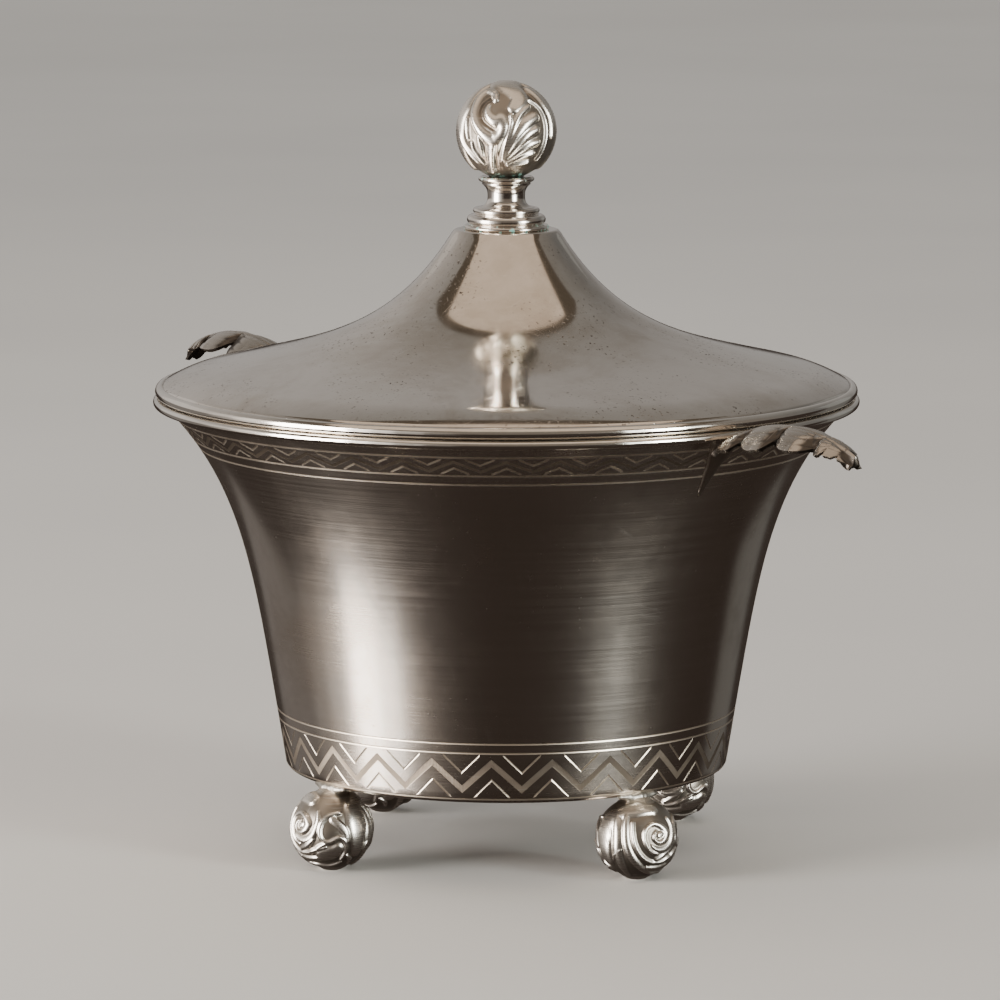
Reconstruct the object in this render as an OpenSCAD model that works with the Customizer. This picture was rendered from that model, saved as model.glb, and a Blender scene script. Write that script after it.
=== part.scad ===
// Lidded silver sugar bowl on four ball feet, with two leaf handles.
// Millimetres. +Z is up, the origin is on the bowl's axis at the table,
// and the two leaf handles lie along +X and -X.

/* [Bowl] */
// Outer radius of the rim moulding
rim_r = 69; // [68:0.5:71]
// Height of the top of the rim above the table
rim_z = 89.3; // [84:0.5:94]
// Outer radius of the wall above the bottom corner
foot_r = 43.2; // [41:0.2:45]
// Height of the flat underside above the table
base_z = 16.2; // [16:0.1:17]
// Radius of the rounded corner between wall and bottom
corner_r = 1.6; // [1.2:0.1:2.4]
// Thickness of the sheet silver in the bowl and the lid
sheet_t = 0.9; // [0.7:0.1:1.1]
// Share of the wall's widening that is a straight slope
straight_share = 0.48; // [0.4:0.02:0.6]
// Power of the curve that flares the lip outwards
flare_power = 4.9; // [4:0.1:5.5]
// Height of the half-round rim moulding
rim_wire_h = 1.7; // [1.4:0.1:2]

/* [Lid] */
// Gap between the rim and the lid's seat
seat_gap = 0.1; // [0.05:0.05:0.3]
// Outer radius of the lid's edge moulding
lid_r = 68.6; // [67.8:0.2:69]
// Height of the lid's edge moulding
edge_wire_h = 2.3; // [1.8:0.1:2.6]
// Height of the lid's flat top above the table
lid_top_z = 121.9; // [117:0.1:125]
// Radius of the flat top of the lid
lid_flat_r = 9.6; // [9:0.2:10.4]
// Share of the lid's rise that is a straight cone
cone_share = 0.45; // [0.38:0.01:0.52]
// Power of the curve that sweeps the lid up to its top
sweep_power = 5.1; // [4.5:0.1:6]
// Drop of the lid's convex shoulder at its edge
shoulder_drop = 1.4; // [0.8:0.1:1.8]
// Outer radius of the centring ring under the lid
bezel_r = 62.2; // [60:0.1:62.4]
// Depth of the centring ring below the rim
bezel_depth = 4; // [3:0.5:4.5]

/* [Finial] */
// Diameter of the chased ball
ball_d = 19.8; // [18:0.2:21]
// Radius of the stem's neck
neck_r = 3.7; // [3.4:0.1:4.2]
// Height of the stem, from the stepped base to the ball
stem_h = 7.2; // [6.4:0.2:8]
// Radius of the stepped base's lower plate
plate_r = 8.3; // [8:0.1:8.8]
// Radius of the threaded stud
stud_r = 2; // [1.6:0.1:2.2]

/* [Feet] */
// Diameter of a ball foot
foot_d = 16.4; // [16.2:0.1:16.8]
// Radius of the circle of feet
foot_circle_r = 42; // [40:0.5:43]
// Turn of the square of feet against the handles, in degrees
feet_turn = -2.5; // [-5:0.5:5]
// Radius of the worn flat under a foot
wear_r = 1.6; // [1.2:0.1:2]

/* [Leaf handles] */
// Distance of the east leaf's tip from the bowl's axis
east_tip_x = 101.6; // [101:0.1:104]
// Distance of the west leaf's tip from the bowl's axis
west_tip_x = 104.2; // [102:0.1:105]
// Height of the east leaf's crest above the table
east_crest_z = 91.9; // [91:0.1:93]
// Height of the west leaf's crest above the table, as it is bent up a little
west_crest_z = 93.8; // [92:0.1:94]
// Greatest half-width of a leaf
leaf_half_w = 6.8; // [6:0.1:8]
// Thickness of a leaf
leaf_t = 1.1; // [0.8:0.1:1.4]

/* [Hidden] */

$fn = 96;
silver = "#b9b4ab";
dark_silver = "#8c8780";
pale_silver = "#cfccc5";
solder_grey = "#9a968e";
brass_colour = "#b08d57";

wall_steps = 28;
lid_steps = 34;
corner_steps = 6;

// The wall's widening from the bottom to the lip, and the wall's radius there
lip_r = rim_r - 0.9;
wall_h = rim_z - base_z;

// The lid's height at its seat, at its edge and its rise
seat_z = rim_z + seat_gap;
lid_edge_z = seat_z + edge_wire_h - 0.1;
lid_edge_r = lid_r - 1.2;
lid_rise = lid_top_z - lid_edge_z - shoulder_drop;
lid_corner_r = 0.9;
lid_corner_drop = 0.5;
lid_neck_r = lid_flat_r + lid_corner_r;
shoulder_r = 60;

// The finial's stack of heights
plate_z = lid_top_z;
stem_z = plate_z + 3.1;
ball_seat_z = stem_z + stem_h;
ball_seat_r = 4.6;
ball_r = ball_d / 2;
ball_z = ball_seat_z + sqrt(ball_r * ball_r - ball_seat_r * ball_seat_r);
stud_hole_r = stud_r + 0.1;
washer_t = 0.8;
nut_h = 2.6;
inner_top_z = lid_top_z - sheet_t;
stud_low_z = inner_top_z - washer_t - nut_h - 0.8;
stud_high_z = ball_z - 2;

// The feet
foot_r_ball = foot_d / 2;
foot_z = sqrt(foot_r_ball * foot_r_ball - wear_r * wear_r);
pad_r = 4.8;
pad_low_z = foot_z + sqrt(foot_r_ball * foot_r_ball - pad_r * pad_r);
pad_top_z = base_z + 0.9;
pad_outer_r = foot_r + 1;
foot_top_z = base_z - 0.4;

// The leaves
leaf_root_x = 68.4;
leaf_root_z = rim_z - 1;
east_tip_z = rim_z - 1.3;
west_tip_z = rim_z - 0.4;
leaf_envelope = [[0, 0.92], [0.1, 1], [0.4, 1], [0.65, 0.94], [0.78, 0.7], [0.9, 0.52], [1, 0.3]];
leaf_drop = [[0, 1.6], [0.1, 3], [0.33, 4.1], [0.62, 3.2], [0.8, 2.1], [0.95, 1.3], [1, 0.6]];
leaf_outline = [
    [0, 0.8], [0.06, 0.95], [0.12, 1], [0.16, 0.88], [0.18, 0.62], [0.22, 0.86], [0.3, 0.99], [0.4, 0.99],
    [0.45, 0.86], [0.47, 0.6], [0.52, 0.82], [0.6, 0.93], [0.68, 0.92], [0.75, 0.78], [0.77, 0.48],
    [0.82, 0.56], [0.9, 0.46], [0.96, 0.34], [1, 0.12]
];
leaf_rows = 44;
leaf_cols = 12;

function wall_radius(z) =
    let (t = (z - base_z) / wall_h)
    foot_r + (lip_r - foot_r) * (straight_share * t + (1 - straight_share) * pow(t, flare_power));

function lid_height(r) =
    let (
        t = max(0, (lid_edge_r - r) / (lid_edge_r - lid_neck_r)),
        s = max(0, (r - shoulder_r) / (lid_edge_r - shoulder_r))
    )
    lid_edge_z + shoulder_drop * (1 - s * s)
    + (lid_rise - lid_corner_drop) * (cone_share * t + (1 - cone_share) * pow(t, sweep_power));

// Points of an outline moved sideways by distance d, to the right of its direction
function unit(v) = v / norm(v);
function side_of(a, b) = let (u = unit(b - a)) [u[1], -u[0]];
function moved_path(path, d) = [
    for (i = [0 : len(path) - 1])
        let (
            before = i > 0 ? side_of(path[i - 1], path[i]) : side_of(path[0], path[1]),
            after = i < len(path) - 1 ? side_of(path[i], path[i + 1]) : before,
            mean = unit(before + after)
        )
        path[i] + d * mean / max(0.5, mean * before)
];
function reversed(path) = [for (i = [len(path) - 1 : -1 : 0]) path[i]];

// The bowl's outer outline, from the axis at the bottom to the lip
corner_z = base_z + corner_r;
corner_x = wall_radius(corner_z) - corner_r;
bowl_corner = [
    for (i = [0 : corner_steps])
        let (a = -90 + 90 * i / corner_steps)
        [corner_x + corner_r * cos(a), corner_z + corner_r * sin(a)]
];
bowl_wall = [
    for (i = [1 : wall_steps])
        let (z = corner_z + (rim_z - corner_z) * i / wall_steps)
        [wall_radius(z), z]
];
bowl_outer = concat([[0, base_z]], bowl_corner, bowl_wall);
bowl_inner_raw = moved_path(bowl_outer, -sheet_t);
bowl_inner = concat(
    [[0, base_z + sheet_t]],
    [for (i = [1 : len(bowl_outer) - 2]) bowl_inner_raw[i]],
    [[bowl_inner_raw[len(bowl_outer) - 1][0] + 0.2, rim_z]]
);

// The lid's outer outline, from the stud hole to the edge
lid_corner = [
    for (i = [0 : 3])
        let (a = 90 - 55 * i / 3)
        [lid_flat_r + lid_corner_r * cos(a), lid_top_z - lid_corner_r + lid_corner_r * sin(a)]
];
lid_sweep = [
    for (i = [1 : lid_steps])
        let (
            share = i / lid_steps,
            r = lid_neck_r + (lid_edge_r - lid_neck_r) * pow(share, 1.25)
        )
        [r, lid_height(r)]
];
lid_outer = concat([[stud_hole_r, lid_top_z]], lid_corner, lid_sweep);
lid_inner_raw = moved_path(lid_outer, sheet_t);
lid_inner = concat(
    [[stud_hole_r, inner_top_z]],
    [for (i = [1 : len(lid_outer) - 1]) lid_inner_raw[i]]
);

// The height of the lid's inside above a radius, read between the outline's points
function lid_inside(r) = lookup(r, [for (p = lid_inner) [p[0], p[1]]]);

module bowl_section() {
    polygon(concat(bowl_outer, reversed(bowl_inner)));
}

module bowl_filled_section() {
    polygon(concat(bowl_outer, [[0, rim_z]]));
}

module lid_section() {
    polygon(concat(lid_outer, reversed(lid_inner)));
}

module bowl_shell() {
    color(silver) rotate_extrude() bowl_section();
}

module rim_wire() {
    half_h = rim_wire_h / 2;
    color(pale_silver) rotate_extrude() difference() {
        translate([rim_r - half_h, rim_z - half_h]) circle(half_h);
        bowl_filled_section();
    }
}

module lid_shell() {
    color(pale_silver) rotate_extrude() lid_section();
}

module lid_edge_wire() {
    half_h = edge_wire_h / 2;
    seat_in = lip_r - 2;
    color(pale_silver) rotate_extrude() difference() {
        union() {
            translate([lid_r - half_h, seat_z + half_h]) circle(half_h);
            translate([seat_in, seat_z]) square([lid_r - half_h - seat_in, half_h]);
        }
        lid_section();
        translate([0, seat_z + half_h]) square([lid_edge_r - 1, edge_wire_h]);
    }
}

module lid_bezel() {
    ring_t = 0.8;
    low_z = rim_z - bezel_depth;
    color(silver) rotate_extrude() polygon([
        [bezel_r - ring_t, low_z],
        [bezel_r, low_z],
        [bezel_r, lid_inside(bezel_r)],
        [bezel_r - ring_t, lid_inside(bezel_r - ring_t)]
    ]);
}

// A turned piece: steps and a rounded bead, on the axis
module finial_base() {
    bead_r = 1;
    lip_h = 0.9;
    color(silver) rotate_extrude() difference() {
        union() {
            translate([0, plate_z]) square([plate_r - 0.3, lip_h]);
            translate([plate_r - 0.45, plate_z + lip_h / 2]) circle(lip_h / 2);
            translate([0, plate_z + lip_h]) square([plate_r - 1.6, 2 * bead_r]);
            translate([plate_r - 1.6, plate_z + lip_h + bead_r]) circle(bead_r);
            translate([0, plate_z + lip_h]) square([plate_r - 2.2, stem_z - plate_z - lip_h]);
        }
        square([stud_hole_r, stem_z + 1]);
    }
}

module finial_stem() {
    collar_r = neck_r + 2.8;
    cup_r = neck_r + 1.5;
    collar_h = 1.1;
    cup_h = 1;
    flare_h = 1.9;
    neck_top = ball_seat_z - cup_h - 0.9;
    flare = [
        for (i = [0 : 6])
            let (a = 90 * i / 6)
            [collar_r - 0.9 - (collar_r - 0.9 - neck_r) * sin(a), stem_z + collar_h + flare_h * (1 - cos(a))]
    ];
    color(silver) rotate_extrude() difference() {
        union() {
            translate([0, stem_z]) square([collar_r - collar_h / 2, collar_h]);
            translate([collar_r - collar_h / 2, stem_z + collar_h / 2]) circle(collar_h / 2);
            polygon(concat(
                [[0, stem_z + collar_h]], flare,
                [[neck_r, neck_top], [neck_r + 0.4, neck_top + 0.5], [cup_r - 0.5, ball_seat_z - cup_h],
                 [0, ball_seat_z - cup_h]]
            ));
            translate([0, ball_seat_z - cup_h]) square([cup_r - cup_h / 2, cup_h]);
            translate([cup_r - cup_h / 2, ball_seat_z - cup_h / 2]) circle(cup_h / 2);
        }
        square([stud_hole_r, ball_seat_z + 1]);
    }
}

module finial_ball() {
    color(silver) difference() {
        translate([0, 0, ball_z]) sphere(ball_r);
        translate([0, 0, ball_seat_z - ball_d]) cylinder(h = ball_d, r = ball_d);
        translate([0, 0, ball_seat_z - 1]) cylinder(h = stud_high_z - ball_seat_z + 1.4, r = stud_hole_r);
    }
}

module finial_stud() {
    color(brass_colour) translate([0, 0, stud_low_z]) cylinder(h = stud_high_z - stud_low_z, r = stud_r);
}

module finial_washer() {
    color(silver) difference() {
        translate([0, 0, inner_top_z - washer_t]) cylinder(h = washer_t, r = 5.5);
        translate([0, 0, inner_top_z - 2 * washer_t]) cylinder(h = 3 * washer_t, r = stud_hole_r);
    }
}

module finial_nut() {
    nut_z = inner_top_z - washer_t - nut_h;
    color(brass_colour) difference() {
        translate([0, 0, nut_z]) cylinder(h = nut_h, r = 4, $fn = 6);
        translate([0, 0, nut_z - 1]) cylinder(h = nut_h + 2, r = stud_hole_r);
    }
}

// A ball foot whose centre is on the circle of feet, turned to one of four places
module foot_ball(turn) {
    color(silver) rotate([0, 0, turn + feet_turn]) translate([foot_circle_r, 0, 0]) intersection() {
        translate([0, 0, foot_z]) sphere(foot_r_ball);
        translate([-foot_d, -foot_d, 0]) cube([2 * foot_d, 2 * foot_d, foot_top_z]);
    }
}

module solder_pad(turn) {
    pad_h = pad_top_z - pad_low_z;
    color(solder_grey) rotate([0, 0, turn + feet_turn]) difference() {
        intersection() {
            translate([foot_circle_r, 0, pad_low_z]) cylinder(h = pad_h, r = pad_r);
            translate([0, 0, pad_low_z]) cylinder(h = pad_h, r1 = pad_outer_r + 1, r2 = pad_outer_r);
        }
        translate([foot_circle_r, 0, 0]) intersection() {
            translate([0, 0, foot_z]) sphere(foot_r_ball);
            translate([-foot_d, -foot_d, 0]) cube([2 * foot_d, 2 * foot_d, foot_top_z]);
        }
        rotate_extrude() bowl_filled_section();
    }
}

// The leaf's crown line rises from its root to a crest and curls down to its tip
function leaf_crown(u, crest_z, tip_z) =
    let (rise = crest_z - (leaf_root_z + tip_z) / 2)
    leaf_root_z + (tip_z - leaf_root_z) * u + rise * (1 - pow(abs(2 * u - 1), 2.2));
function leaf_point(u, v, down, tip_x, crest_z, tip_z) =
    let (
        y = v * leaf_half_w * lookup(u, leaf_outline),
        side = y / (leaf_half_w * lookup(u, leaf_envelope)),
        z = leaf_crown(u, crest_z, tip_z) - lookup(u, leaf_drop) * side * side
    )
    [leaf_root_x + (tip_x - leaf_root_x) * u, y, z - down];
function leaf_layer(down, tip_x, crest_z, tip_z) = [
    for (i = [0 : leaf_rows]) for (j = [0 : leaf_cols])
        leaf_point(i / leaf_rows, 2 * j / leaf_cols - 1, down, tip_x, crest_z, tip_z)
];

module leaf_sheet(tip_x, crest_z, tip_z) {
    per_row = leaf_cols + 1;
    under = (leaf_rows + 1) * per_row;
    top_faces = [
        for (i = [0 : leaf_rows - 1]) for (j = [0 : leaf_cols - 1])
            let (a = i * per_row + j)
            each [[a, a + 1, a + per_row + 1], [a, a + per_row + 1, a + per_row]]
    ];
    bottom_faces = [for (f = top_faces) [f[2] + under, f[1] + under, f[0] + under]];
    rim_loop = concat(
        [for (j = [0 : leaf_cols - 1]) j],
        [for (i = [0 : leaf_rows - 1]) i * per_row + leaf_cols],
        [for (j = [leaf_cols : -1 : 1]) leaf_rows * per_row + j],
        [for (i = [leaf_rows : -1 : 1]) i * per_row]
    );
    edge_faces = [
        for (k = [0 : len(rim_loop) - 1])
            let (a = rim_loop[k], b = rim_loop[(k + 1) % len(rim_loop)])
            each [[b, a, a + under], [b, a + under, b + under]]
    ];
    polyhedron(
        points = concat(leaf_layer(0, tip_x, crest_z, tip_z), leaf_layer(leaf_t, tip_x, crest_z, tip_z)),
        faces = concat(top_faces, bottom_faces, edge_faces),
        convexity = 4
    );
}

module leaf_handle_east() {
    color(silver) leaf_sheet(east_tip_x, east_crest_z, east_tip_z);
}

module leaf_handle_west() {
    color(silver) rotate([0, 0, 180]) leaf_sheet(west_tip_x, west_crest_z, west_tip_z);
}

// A tongue on the wall, wide under the leaf's root and tapered to its lower end
module leaf_bracket(turn) {
    low_z = rim_z - 13.6;
    high_z = rim_z - rim_wire_h - 0.1;
    low_r = wall_radius(low_z);
    high_r = wall_radius(high_z);
    color(dark_silver) rotate([0, 0, turn]) difference() {
        intersection() {
            rotate([90, 0, 0]) linear_extrude(height = 10, center = true) polygon([
                [low_r - 3, low_z], [low_r + 0.7, low_z], [wall_radius(rim_z - 8) + 1.6, rim_z - 8],
                [high_r + 1.9, high_z - 0.9], [leaf_root_x + 4, high_z + 0.3],
                [leaf_root_x + 2.6, high_z + 0.5], [leaf_root_x, high_z], [high_r - 6, high_z]
            ]);
            rotate([90, 0, 90]) linear_extrude(height = 90) polygon([
                [-0.7, low_z - 1], [0.7, low_z - 1], [2.3, rim_z - 8], [5, high_z + 1], [-5, high_z + 1],
                [-2.3, rim_z - 8]
            ]);
        }
        rotate_extrude() bowl_filled_section();
    }
}

bowl_shell();
rim_wire();
leaf_handle_east();
leaf_handle_west();
leaf_bracket(0);  // leaf_bracket_east
leaf_bracket(180);  // leaf_bracket_west
foot_ball(0);  // foot_ball_east
foot_ball(90);  // foot_ball_north
foot_ball(180);  // foot_ball_west
foot_ball(270);  // foot_ball_south
solder_pad(0);  // solder_pad_east
solder_pad(90);  // solder_pad_north
solder_pad(180);  // solder_pad_west
solder_pad(270);  // solder_pad_south
lid_shell();
lid_edge_wire();
lid_bezel();
finial_base();
finial_stem();
finial_ball();
finial_stud();
finial_washer();
finial_nut();
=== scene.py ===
import math

import bmesh
import bpy
import numpy as np
from mathutils import Matrix, Vector
from mathutils.geometry import delaunay_2d_cdt


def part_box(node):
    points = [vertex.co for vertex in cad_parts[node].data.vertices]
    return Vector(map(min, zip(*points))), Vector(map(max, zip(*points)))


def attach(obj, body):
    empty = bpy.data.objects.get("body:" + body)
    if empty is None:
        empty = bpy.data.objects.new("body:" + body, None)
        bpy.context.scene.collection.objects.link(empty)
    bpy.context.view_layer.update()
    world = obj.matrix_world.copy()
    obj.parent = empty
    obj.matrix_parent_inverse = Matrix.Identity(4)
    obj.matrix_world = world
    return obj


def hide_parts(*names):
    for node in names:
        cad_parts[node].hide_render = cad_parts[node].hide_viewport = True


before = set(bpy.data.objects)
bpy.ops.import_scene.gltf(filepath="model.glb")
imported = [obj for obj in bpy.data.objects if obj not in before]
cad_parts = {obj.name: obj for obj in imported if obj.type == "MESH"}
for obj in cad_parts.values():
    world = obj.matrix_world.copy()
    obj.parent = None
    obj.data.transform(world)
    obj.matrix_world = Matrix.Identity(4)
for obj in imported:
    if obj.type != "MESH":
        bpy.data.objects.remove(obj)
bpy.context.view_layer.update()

# Lengths in this script are millimetres. A mesh is scaled to metres when it is made.
MM = 0.001

CAMERA_TURN = math.radians(51)
CAMERA_RISE = math.radians(8.24)
CAMERA_DISTANCE = 1242
CAMERA_TARGET_Z = 68.5
CAMERA_ASIDE = 1.24
CAMERA_LENS = 228.1
RIGHT = np.array([math.cos(CAMERA_TURN), math.sin(CAMERA_TURN), 0])
BACK = np.array([math.sin(CAMERA_TURN), -math.cos(CAMERA_TURN), 0])

SIDES = {"east": 0, "north": 90, "west": 180, "south": 270}


def span(node):
    """The lowest and highest corners of a CAD node, in millimetres."""
    low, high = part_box(node)
    return np.array(low) / MM, np.array(high) / MM


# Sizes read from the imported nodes
BASE_Z = span("bowl_shell")[0][2]
LIP_R = span("bowl_shell")[1][0]
RIM_Z = span("rim_wire")[1][2]
RIM_R = span("rim_wire")[1][0]
LID_TOP_Z = span("lid_shell")[1][2]
LID_WIRE_LOW = span("lid_edge_wire")[0][2]
LID_R = span("lid_edge_wire")[1][0]
LID_WIRE_H = span("lid_edge_wire")[1][2] - LID_WIRE_LOW
BALL_TOP_Z = span("finial_ball")[1][2]
BALL_R = span("finial_ball")[1][0]
FOOT_R = span("foot_ball_east")[1][1] / 2 - span("foot_ball_east")[0][1] / 2

# Shape numbers that the CAD model uses too
SHEET = 0.9
FOOT_RADIUS = 43.2
CORNER = 1.6
STRAIGHT_SHARE = 0.48
FLARE_POWER = 4.9
WALL_H = RIM_Z - BASE_Z
FEET_CIRCLE = 42
FEET_TURN = -2.5
LID_EDGE_Z = LID_WIRE_LOW + LID_WIRE_H - 0.1
LID_EDGE_R = LID_R - 1.2
LID_NECK_R = 10.5
LID_FLAT_R = 9.6
BORE_R = 2.1
SHOULDER_R = 60
SHOULDER_DROP = 1.4
CONE_SHARE = 0.45
SWEEP_POWER = 5.1
LID_RISE = LID_TOP_Z - LID_EDGE_Z - SHOULDER_DROP - 0.5


# Mesh tools


def new_object(name, points, faces, body, replaced=()):
    """Makes a mesh object from points in millimetres, on a body, in place of CAD nodes."""
    mesh = bpy.data.meshes.new(name)
    mesh.from_pydata([tuple(p) for p in np.asarray(points, float) * MM], [], faces)
    mesh.validate(clean_customdata=False)
    mesh.shade_smooth()
    obj = bpy.data.objects.new(name, mesh)
    bpy.context.collection.objects.link(obj)
    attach(obj, body)
    if replaced:
        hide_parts(*replaced)
    return obj


def dress(obj, *materials):
    """Gives an object these materials in place of any it has."""
    obj.data.materials.clear()
    for material in materials:
        obj.data.materials.append(material)


def apply_modifiers(obj):
    """Turns the object's modified shape into its mesh."""
    graph = bpy.context.evaluated_depsgraph_get()
    made = obj.evaluated_get(graph)
    mesh = bpy.data.meshes.new_from_object(made, preserve_all_data_layers=True, depsgraph=graph)
    old = obj.data
    obj.modifiers.clear()
    obj.data = mesh
    bpy.data.meshes.remove(old)
    mesh.name = obj.name


def filleted(outline, steps=4):
    """Rounds the corners of an outline of (r, z, radius) points."""
    made = []
    for i, (r, z, radius) in enumerate(outline):
        here = np.array([r, z], float)
        if radius == 0 or i in (0, len(outline) - 1):
            made.append(here)
            continue
        before = np.array(outline[i - 1][:2], float) - here
        after = np.array(outline[i + 1][:2], float) - here
        reach = min(radius, 0.48 * np.linalg.norm(before), 0.48 * np.linalg.norm(after))
        start = here + before / np.linalg.norm(before) * reach
        end = here + after / np.linalg.norm(after) * reach
        for k in range(steps + 1):
            t = k / steps
            made.append((1 - t) ** 2 * start + 2 * t * (1 - t) * here + t * t * end)
    return made


def lathe(outline, columns):
    """Turns an (r, z) outline about the axis. The outline runs up the outside, as a lathe tool would."""
    points, rows, faces = [], [], []
    for r, z in outline:
        if r < 1e-6:
            rows.append([len(points)] * columns)
            points.append((0, 0, z))
            continue
        rows.append(list(range(len(points), len(points) + columns)))
        for k in range(columns):
            a = 2 * math.pi * k / columns
            points.append((r * math.cos(a), r * math.sin(a), z))
    for low, high in zip(rows, rows[1:]):
        for k in range(columns):
            n = (k + 1) % columns
            face = [low[k], low[n], high[n], high[k]]
            face = [v for i, v in enumerate(face) if v not in face[:i]]
            if len(face) > 2:
                faces.append(face)
    return points, faces


def tube_faces(rows, columns, closed=False):
    """The faces between rows of points round an axis. A closed tube joins its last row to its first."""
    faces = []
    for i in range(rows if closed else rows - 1):
        for k in range(columns):
            n = (k + 1) % columns
            a, b = i * columns, (i + 1) % rows * columns
            faces.append([a + k, a + n, b + n, b + k])
    return faces


def turned(name, outline, columns, body, node, slot, *materials):
    """A turned ring or solid in place of a CAD node."""
    outline = [tuple(p) for p in outline]
    points, faces = lathe(outline + outline[:1], columns)
    obj = new_object(name, points, faces, body, [node])
    weld(obj)
    dress(obj, *materials)
    return obj


def weld(obj, reach=0.0005):
    """Joins points that lie on each other and points every face outwards."""
    work = bmesh.new()
    work.from_mesh(obj.data)
    bmesh.ops.remove_doubles(work, verts=work.verts, dist=reach * MM)
    bmesh.ops.recalc_face_normals(work, faces=work.faces)
    work.to_mesh(obj.data)
    work.free()


def rotated(points, degrees):
    """Points turned about the vertical axis."""
    a = math.radians(degrees)
    turn = np.array([[math.cos(a), -math.sin(a), 0], [math.sin(a), math.cos(a), 0], [0, 0, 1]])
    return np.asarray(points, float) @ turn.T


# The bowl's wall and its engraved bands

CORNER_Z = BASE_Z + CORNER
GROOVE_HALF = 0.2
GROOVE_DEPTH = 0.11
HATCH_DEPTH = 0.04
# The kinds of face, in the order of the bowl's materials
BODY, CUT, INSIDE, HATCHED = range(4)
CUT_PIECES = 4
CUT_TAPER = 0.45
COLUMNS = 240
STEP = 360 / COLUMNS
# The heights of the turned lines: one under each band or above it, and two on its other side
LOW_RINGS = (17.1, 26.25, 28.1)
HIGH_RINGS = (79.95, 81.8, 85.65)
# First angle, repeats, and the columns and hatches in half a repeat
LOW_BAND = (-5.2, 24, 5, 20)
HIGH_BAND = (1.5, 40, 3, 16)
# How far the lowest rows are turned against the highest ones, in degrees
LOW_OFFSET = 0.8
LIP_EDGE = 0.15
LIP_FLAT = 0.7


def wall_radius(z):
    """The outer radius of the bowl's wall, without the rounded bottom corner."""
    t = (z - BASE_Z) / WALL_H
    return FOOT_RADIUS + (LIP_R - FOOT_RADIUS) * (STRAIGHT_SHARE * t + (1 - STRAIGHT_SHARE) * t**FLARE_POWER)


CORNER_X = wall_radius(CORNER_Z) - CORNER


def wall_point(z):
    """The outer radius at a height, and the outward direction there as (radial, vertical)."""
    if z < CORNER_Z:
        reach = math.sqrt(max(0, CORNER**2 - (CORNER_Z - z) ** 2))
        return CORNER_X + reach, (reach / CORNER, (z - CORNER_Z) / CORNER)
    slope = (wall_radius(z + 0.01) - wall_radius(z - 0.01)) / 0.02
    length = math.hypot(1, slope)
    return wall_radius(z), (1 / length, -slope / length)


def on_wall(angle, z, depth=0.0):
    """A point on or below the outer surface, and the outward direction. The angle is in degrees."""
    r, (nr, nz) = wall_point(z)
    a = math.radians(angle)
    r, z = r - nr * depth, z - nz * depth
    return (r * math.cos(a), r * math.sin(a), z), (nr * math.cos(a), nr * math.sin(a), nz)


def cut_outline(start, end):
    """A tapered V-shaped cut from start to end: its points with depths, and the edges between them.
    The start lies on a mirror line, so the cut runs on at full width there."""
    start, end = np.array(start, float), np.array(end, float)
    along = end - start
    length = np.linalg.norm(along)
    along /= length
    across = np.array([-along[1], along[0]])
    skew = along * GROOVE_HALF * along[1] / along[0]
    points, edges = [], []
    sides = ([], [], [])
    for i in range(CUT_PIECES + 1):
        here = start + along * (length - CUT_TAPER) * i / CUT_PIECES
        lean = skew if i == 0 else skew * 0
        for side, shift in zip(sides, (1, 0, -1)):
            side.append(len(points))
            move = (across * GROOVE_HALF + lean) * shift
            points.append((*(here + move), GROOVE_DEPTH if shift == 0 else 0))
    tip = len(points)
    points.append((*end, 0))
    for side in sides:
        side.append(tip)
        edges += list(zip(side, side[1:]))
    return points, edges


def engraved_half(width, height, columns, hatches):
    """Half of one repeat of the zigzag: a hanging V, a standing V and a hatched ribbon between them.
    Returns points as (across, down, depth) and triangles."""
    points, edges = [], []

    def add(new_points, new_edges):
        base = len(points)
        points.extend(new_points)
        edges.extend((a + base, b + base) for a, b in new_edges)

    def upper(x):
        """The upper edge of the ribbon."""
        return height * (0.7125 - 0.6 * x / width)

    end_gap = 0.12
    reach = 0.64 * width
    drop = 0.42 * height
    stop = reach * (1 - end_gap / drop)
    add(*cut_outline((0, drop), (stop, end_gap)))
    add(*cut_outline((width, height - drop), (width - stop, height - end_gap)))
    thick = 0.175 * height
    ramp = 0.16 * thick
    marks = []
    for k in range(2 * hatches + 1):
        x = width * k / (2 * hatches)
        depths = (0, 0) if k % 2 == 0 else (0, HATCH_DEPTH, HATCH_DEPTH, 0)
        downs = (0, thick) if k % 2 == 0 else (0, ramp, thick - ramp, thick)
        base = len(points)
        points.extend((x, upper(x) + d, depth) for d, depth in zip(downs, depths))
        last = len(points) - 1
        edges.extend((j, j + 1) for j in range(base, last))
        if marks:
            edges.append((marks[-1][0], base))
            edges.append((marks[-1][1], last))
        marks.append((base, last))
    cuts = [
        (np.array([0, drop]), np.array([reach, 0])),
        (np.array([width, height - drop]), np.array([width - reach, height])),
    ]

    def is_clear(x, y):
        if upper(x) - 0.3 < y < upper(x) + thick + 0.3:
            return False
        for a, b in cuts:
            t = np.clip(np.dot(np.array([x, y]) - a, b - a) / np.dot(b - a, b - a), 0, 1)
            if np.linalg.norm(np.array([x, y]) - a - t * (b - a)) < 0.45:
                return False
        return True

    rows = max(2, round(height / 1.1))
    for i in range(columns + 1):
        for j in range(rows + 1):
            x, y = width * i / columns, height * j / rows
            on_border = j in (0, rows)
            if on_border or is_clear(x, y):
                points.append((x, y, 0))
    flat = [Vector((x, y)) for x, y, _ in points]
    made, _, faces, sources, _, _ = delaunay_2d_cdt(flat, edges, [], 0, 1e-5, True)
    depths = [max((points[i][2] for i in s), default=0) for s in sources]
    return [(v.x, v.y, d) for v, d in zip(made, depths)], [list(f) for f in faces]


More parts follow.
